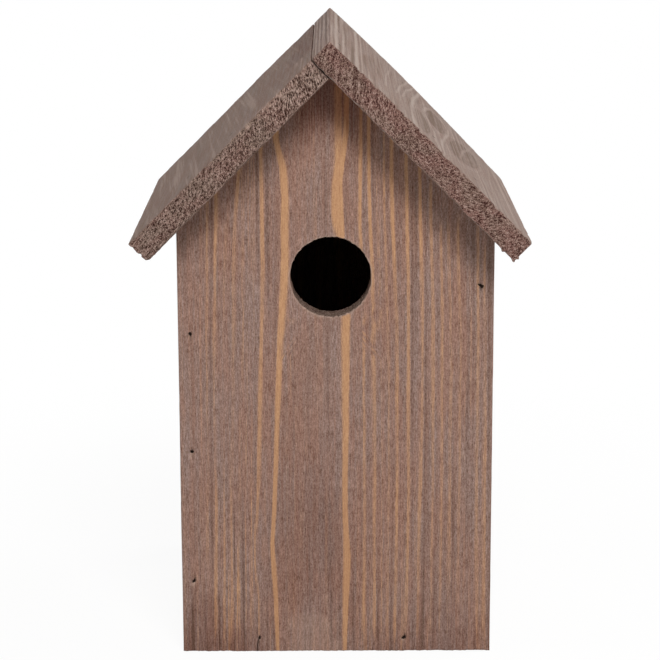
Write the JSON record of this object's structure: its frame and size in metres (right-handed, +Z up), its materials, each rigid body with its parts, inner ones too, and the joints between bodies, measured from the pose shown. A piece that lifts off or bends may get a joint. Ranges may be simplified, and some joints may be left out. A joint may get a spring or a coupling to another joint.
{
  "type": "bird nest box",
  "caption": "Wooden bird nest box with a pitched roof, a round entrance hole in the front and a hinged side wall that opens for cleaning.",
  "frame": {"origin": "on the ground under the ridge, halfway between the front edge of the roof and the rear face of the hanging plate", "axes": "+Z up along the height, -Y out of the entrance, +X towards the side door"},
  "size_m": [0.1556, 0.1642, 0.2526],
  "materials": {
    "front_wood": "brown-grey stained softwood with orange-tan growth rings",
    "wall_wood": "brown-grey stained softwood",
    "floor_wood": "brown-grey stained softwood",
    "roof_wood": "brown-grey stained softwood, rough sawn end grain",
    "nail_steel": "dull dark steel",
    "zinc": "bright zinc plating"
  },
  "bodies": {
    "box": {"front_board": "front_wood", "back_board": "wall_wood", "left_side": "wall_wood", "floor_board": "floor_wood", "roof_board_left": "roof_wood", "roof_board_right": "roof_wood", "brad_front_wall_1": "nail_steel", "brad_front_wall_2": "nail_steel", "brad_front_wall_3": "nail_steel", "brad_back_wall_1": "nail_steel", "brad_back_wall_2": "nail_steel", "brad_back_wall_3": "nail_steel", "brad_front_floor_1": "nail_steel", "brad_front_floor_2": "nail_steel", "brad_back_floor_1": "nail_steel", "brad_back_floor_2": "nail_steel", "brad_left_floor_1": "nail_steel", "brad_left_floor_2": "nail_steel", "brad_roof_right_front_1": "nail_steel", "brad_roof_right_front_2": "nail_steel", "brad_roof_right_back_1": "nail_steel", "brad_roof_right_back_2": "nail_steel", "brad_roof_left_front_1": "nail_steel", "brad_roof_left_front_2": "nail_steel", "brad_roof_left_back_1": "nail_steel", "brad_roof_left_back_2": "nail_steel", "brad_ridge_1": "nail_steel", "brad_ridge_2": "nail_steel", "brad_ridge_3": "nail_steel", "pivot_nail_front": "nail_steel", "pivot_nail_back": "nail_steel", "hanging_plate": "zinc", "plate_screw_top": "zinc", "plate_screw_bottom": "zinc"},
    "door": {"side_door": "wall_wood"},
    "hook": {"turn_hook": "zinc"}
  },
  "joints": [
    {"name": "door_swing", "type": "hinge", "parent": "box", "child": "door", "pos_m": [0.05975, 0.00885, 0.15377], "axis": [0, -1, 0], "range_deg": [0, 110]},
    {"name": "hook_turn", "type": "hinge", "parent": "box", "child": "hook", "pos_m": [0.06525, 0.07385, 0.022], "axis": [-1, 0, 0], "range_deg": [0, 90]}
  ]
}
